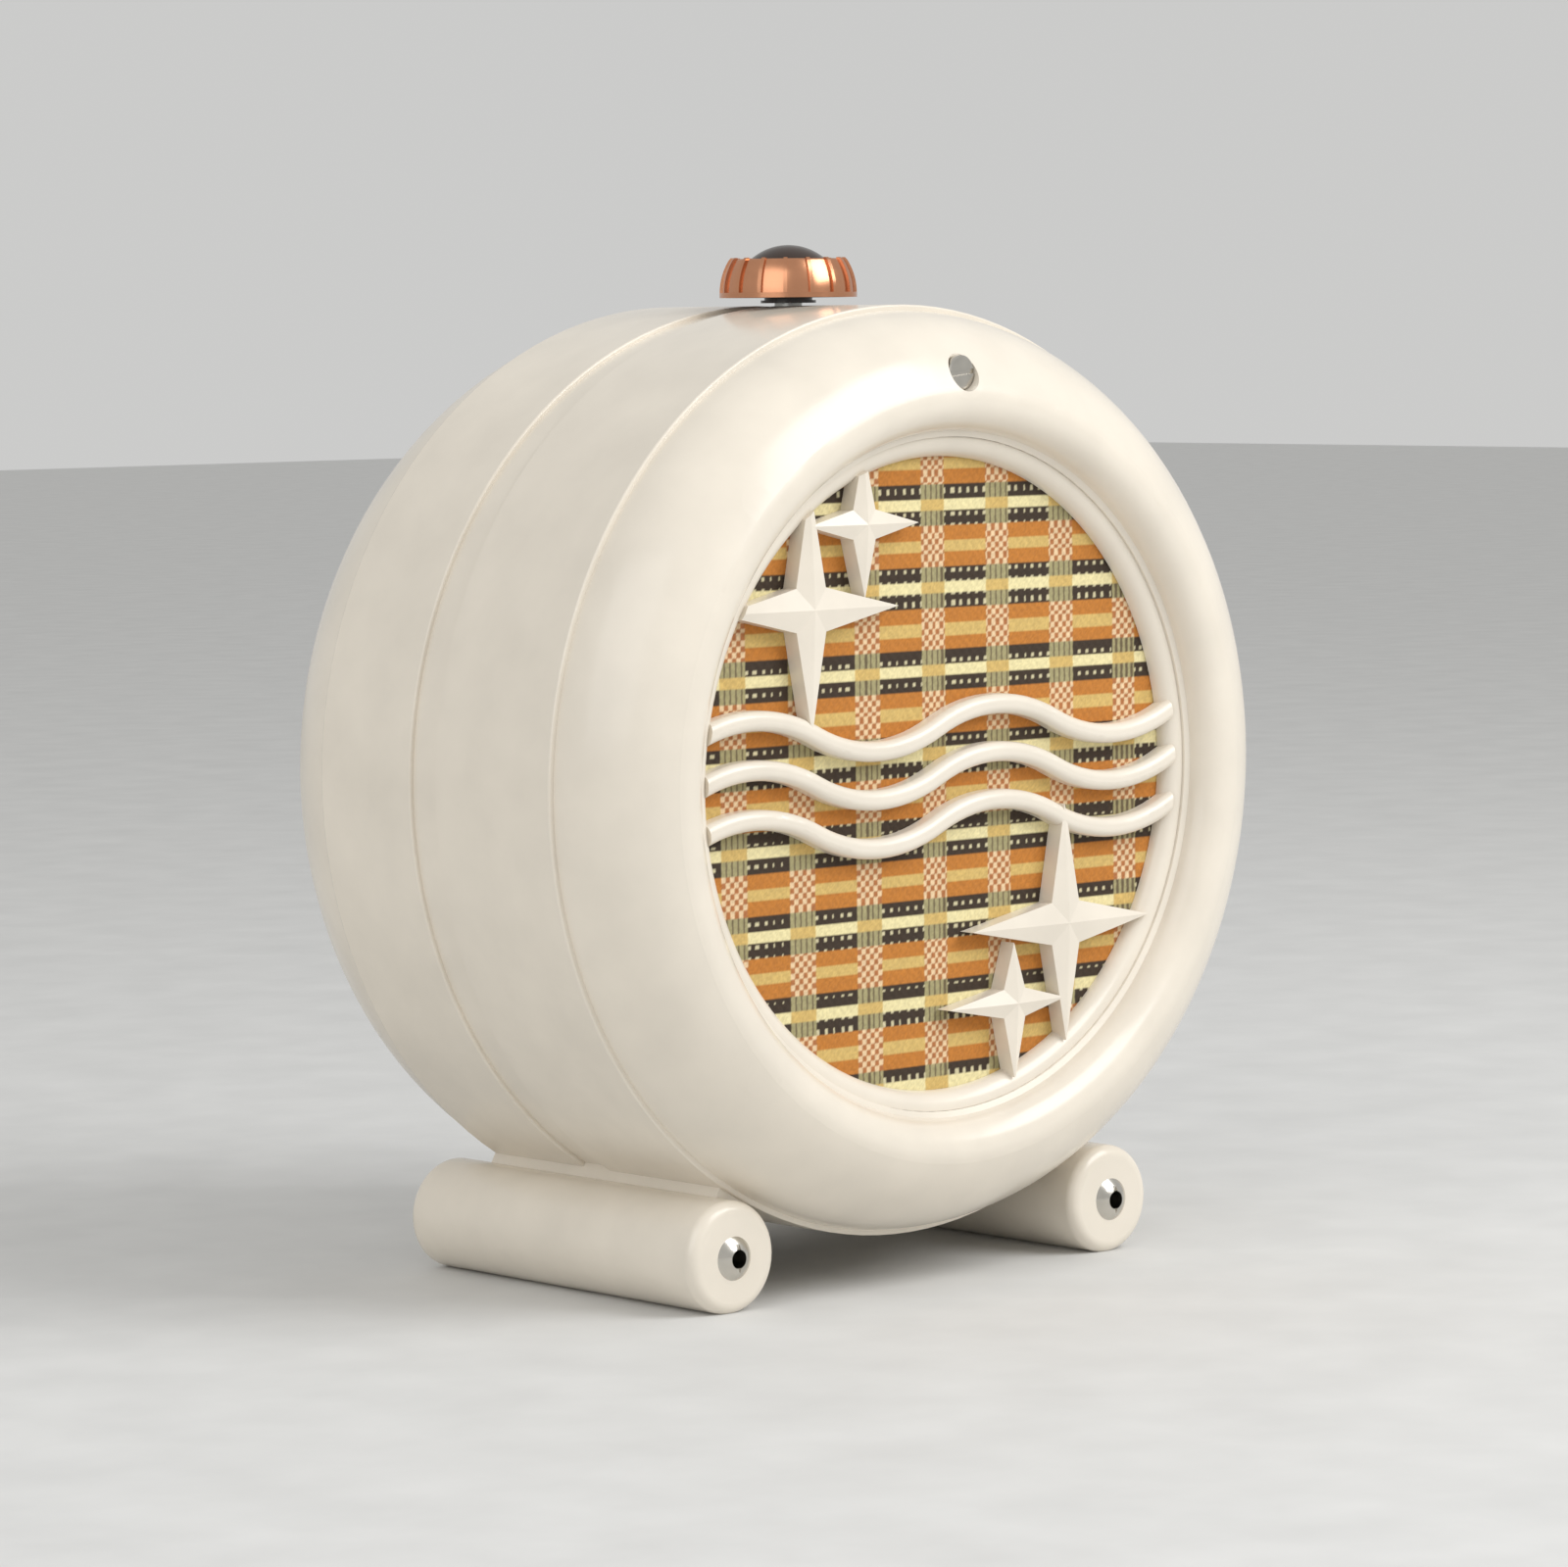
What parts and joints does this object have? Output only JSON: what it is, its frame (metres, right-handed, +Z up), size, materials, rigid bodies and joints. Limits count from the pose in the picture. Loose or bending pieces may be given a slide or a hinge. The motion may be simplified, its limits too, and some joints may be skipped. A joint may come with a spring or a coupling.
{
  "type": "extension loudspeaker",
  "caption": "Round cream table loudspeaker with a wave and star grille over woven cloth, a fluted copper volume knob on top and cylinder feet along its base.",
  "frame": {"origin": "on the ground under the middle of the object's width and depth", "axes": "+Z up, -Y towards the front grille, +X to the right seen from the front"},
  "size_m": [0.2, 0.1294, 0.2232],
  "materials": {
    "cream_case": "glossy moulded urea plastic, lightly yellowed",
    "woven_cloth": "patterned woven speaker cloth, gold, cream and brown",
    "fibre_board": "pressed fibre board",
    "zinc_steel": "zinc plated steel",
    "nickel_steel": "worn nickel plate",
    "painted_steel": "dark grey hammer paint",
    "copper_plate": "polished copper plate",
    "dark_moulding": "dark brown phenolic",
    "black_paper": "pressed paper pulp",
    "varnished_cloth": "varnished cotton",
    "brown_laminate": "phenolic paper laminate",
    "tinned_brass": "tinned brass",
    "carbon_track": "carbon film on laminate",
    "ferrite": "sintered ferrite",
    "core_iron": "lacquered laminations",
    "enamelled_wire": "enamelled copper wire",
    "black_rubber": "soft rubber"
  },
  "bodies": {
    "case": {"baffle_board": "fibre_board", "baffle_screws": "zinc_steel", "bracket_screws": "zinc_steel", "cone_surround": "black_paper", "cord_grommet": "black_rubber", "foot_bolts": "zinc_steel", "foot_sleeve_nuts": "nickel_steel", "front_pole_plate": "zinc_steel", "front_shell": "cream_case", "grille_insert": "cream_case", "pole_yoke": "zinc_steel", "pot_bracket": "zinc_steel", "pot_bush": "zinc_steel", "pot_can": "zinc_steel", "pot_nut": "zinc_steel", "pot_tags": "tinned_brass", "pot_track": "carbon_track", "rear_shell": "cream_case", "rear_tie_nut": "zinc_steel", "rear_tie_screw": "zinc_steel", "ring_magnet": "ferrite", "speaker_basket": "painted_steel", "speaker_bolts": "zinc_steel", "speaker_cloth": "woven_cloth", "speaker_gasket": "black_paper", "speaker_nuts": "zinc_steel", "spider": "varnished_cloth", "terminal_strip": "brown_laminate", "terminal_tags": "tinned_brass", "top_case_screw": "nickel_steel", "top_screw_nut": "zinc_steel", "transformer_bobbin": "brown_laminate", "transformer_clips": "zinc_steel", "transformer_core": "core_iron", "transformer_screws": "zinc_steel", "transformer_winding": "enamelled_wire"},
    "knob": {"knob_core": "dark_moulding", "knob_skirt": "copper_plate", "knob_cap": "dark_moulding", "knob_set_screw": "zinc_steel", "pot_shaft": "zinc_steel", "pot_wiper": "tinned_brass"},
    "cone": {"speaker_cone": "black_paper", "dust_cap": "black_paper", "coil_former": "brown_laminate", "voice_coil": "enamelled_wire"}
  },
  "joints": [
    {"name": "volume_turn", "type": "hinge", "parent": "case", "child": "knob", "pos_m": [0, -0.00839, 0.21002], "axis": [0, 0, 1], "range_deg": [-135, 135]},
    {"name": "cone_travel", "type": "slide", "parent": "case", "child": "cone", "axis": [0, -1, 0], "range_m": [-0.0015, 0.0015], "stiffness_N_per_m": 1200, "deforming": ["cone_surround", "spider"]}
  ]
}
